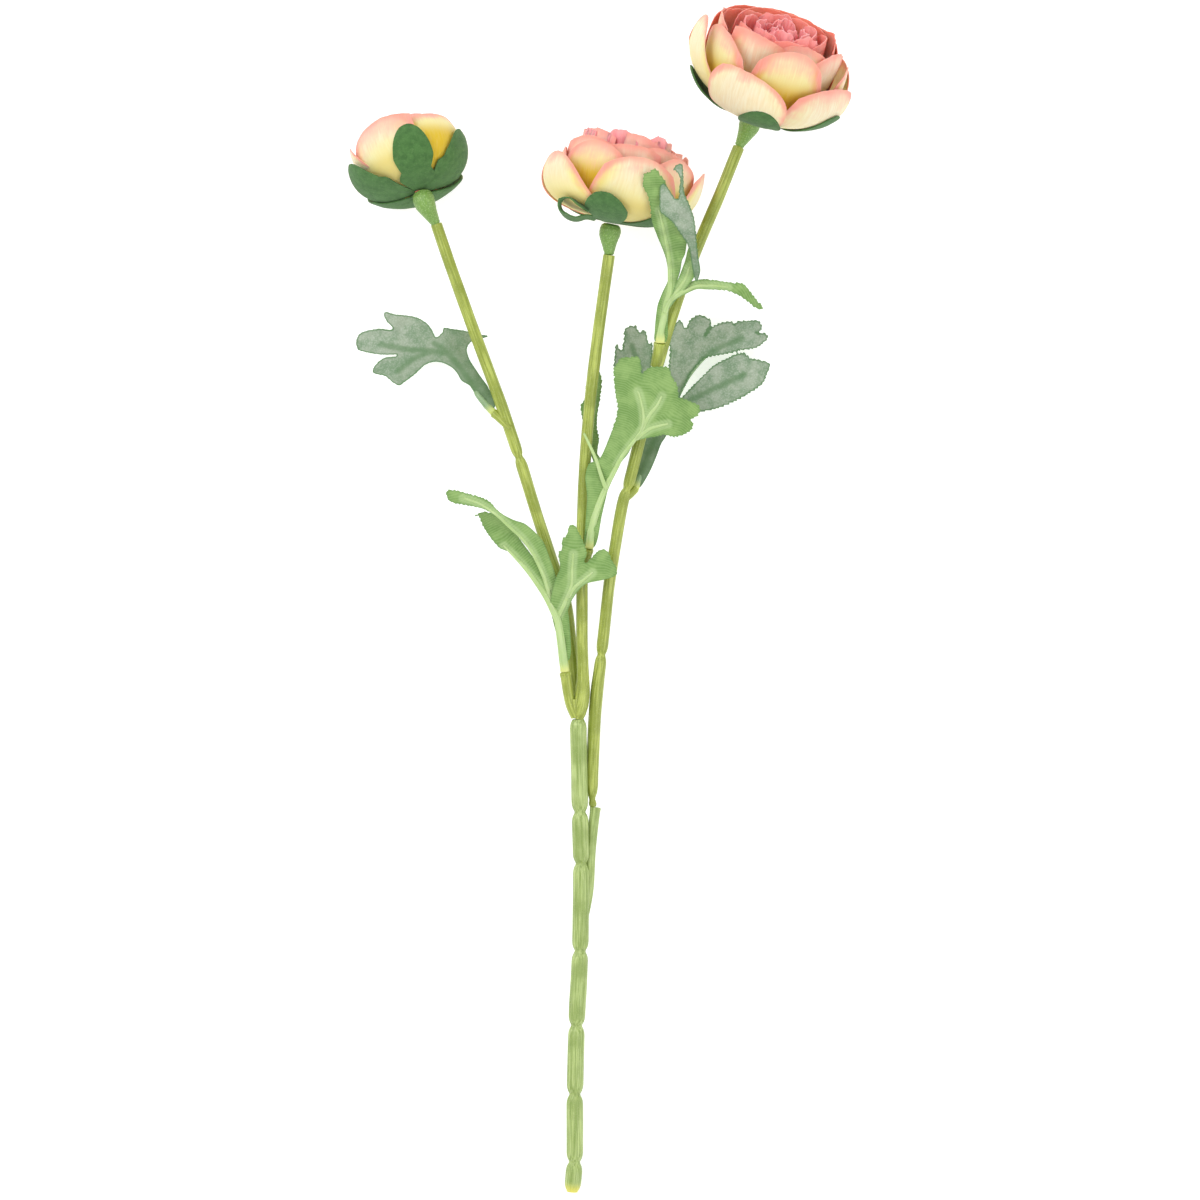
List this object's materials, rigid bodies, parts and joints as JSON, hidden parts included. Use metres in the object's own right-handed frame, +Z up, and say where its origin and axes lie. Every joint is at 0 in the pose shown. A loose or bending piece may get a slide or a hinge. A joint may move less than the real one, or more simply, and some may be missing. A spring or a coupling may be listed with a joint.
{
  "type": "artificial ranunculus spray",
  "caption": "Artificial ranunculus flower spray lying on its side: a long jointed plastic stem that forks to two open blooms and a bud, with lobed cloth leaves.",
  "frame": {"origin": "on the surface it lies on, under the centre of its bounding box", "axes": "+Y from the cut end of the stem to the blooms, +X to the right seen from above with the blooms away, +Z up from the surface"},
  "size_m": [0.2094, 0.5001, 0.0686],
  "materials": {
    "petal_cloth": "matte printed silk cloth, cream with pink edges",
    "calyx_felt": "dark green felt",
    "leaf_cloth": "pressed green cloth, greyer underneath",
    "leaf_rib_plastic": "pale green moulded plastic",
    "stem_plastic": "satin yellow-green moulded plastic",
    "receptacle_plastic": "knobbly light green moulded plastic"
  },
  "bodies": {
    "root": {"main_stem": "stem_plastic", "middle_branch": "stem_plastic", "left_branch": "stem_plastic", "right_branch": "stem_plastic", "left_leaf": "leaf_cloth", "left_leaf_stalk": "leaf_rib_plastic", "middle_leaf": "leaf_cloth", "middle_leaf_stalk": "leaf_rib_plastic", "upper_leaf": "leaf_cloth", "upper_leaf_stalk": "leaf_rib_plastic", "right_leaf": "leaf_cloth", "right_leaf_stalk": "leaf_rib_plastic", "fork_leaf": "leaf_cloth", "fork_leaf_stalk": "leaf_rib_plastic", "right_bloom_petals": "petal_cloth", "right_bloom_calyx": "calyx_felt", "right_bloom_receptacle": "receptacle_plastic", "middle_bloom_petals": "petal_cloth", "middle_bloom_calyx": "calyx_felt", "middle_bloom_receptacle": "receptacle_plastic", "left_bud_petals": "petal_cloth", "left_bud_calyx": "calyx_felt", "left_bud_receptacle": "receptacle_plastic"}
  },
  "joints": []
}
